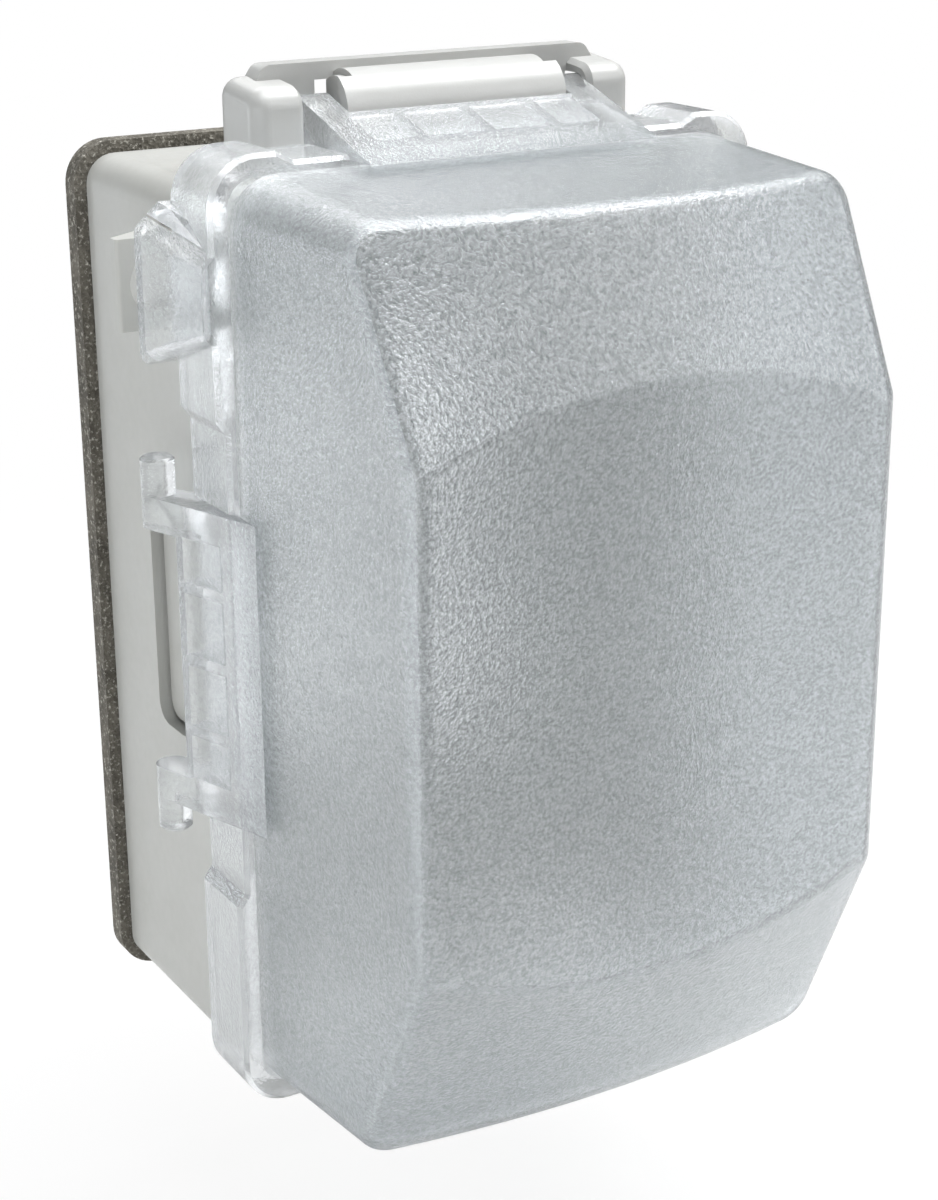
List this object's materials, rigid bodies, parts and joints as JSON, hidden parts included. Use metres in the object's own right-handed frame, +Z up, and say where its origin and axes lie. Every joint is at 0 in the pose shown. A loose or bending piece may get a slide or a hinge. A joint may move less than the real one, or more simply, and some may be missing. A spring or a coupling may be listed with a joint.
{
  "type": "weatherproof in-use outlet cover",
  "caption": "Grey wall-mounted weatherproof outlet cover with a deep frosted clear lid that hinges up at the top, padlock tabs and cord notches.",
  "frame": {"origin": "centre of the gasket's back face, in the plane of the wall", "axes": "+X to the right for someone facing the cover, +Y into the wall, +Z up; the lid's front faces -Y"},
  "size_m": [0.1138, 0.102, 0.164],
  "materials": {
    "lid_plastic": "frosted clear polycarbonate, fine stipple outside",
    "base_plastic": "satin light grey moulding",
    "hinge_plastic": "satin light warm grey moulding",
    "plate_plastic": "satin light grey moulding",
    "gasket_foam": "dark closed-cell foam with pale speckles"
  },
  "bodies": {
    "base": {"wall_gasket": "gasket_foam", "base_housing": "base_plastic", "hinge_bracket": "hinge_plastic", "side_socket_blank": "base_plastic", "device_plate": "plate_plastic"},
    "lid": {"lid": "lid_plastic"}
  },
  "joints": [
    {"name": "lid_hinge", "type": "hinge", "parent": "base", "child": "lid", "pos_m": [0, -0.0385, 0.0808], "axis": [-1, 0, 0], "range_deg": [0, 105]}
  ]
}
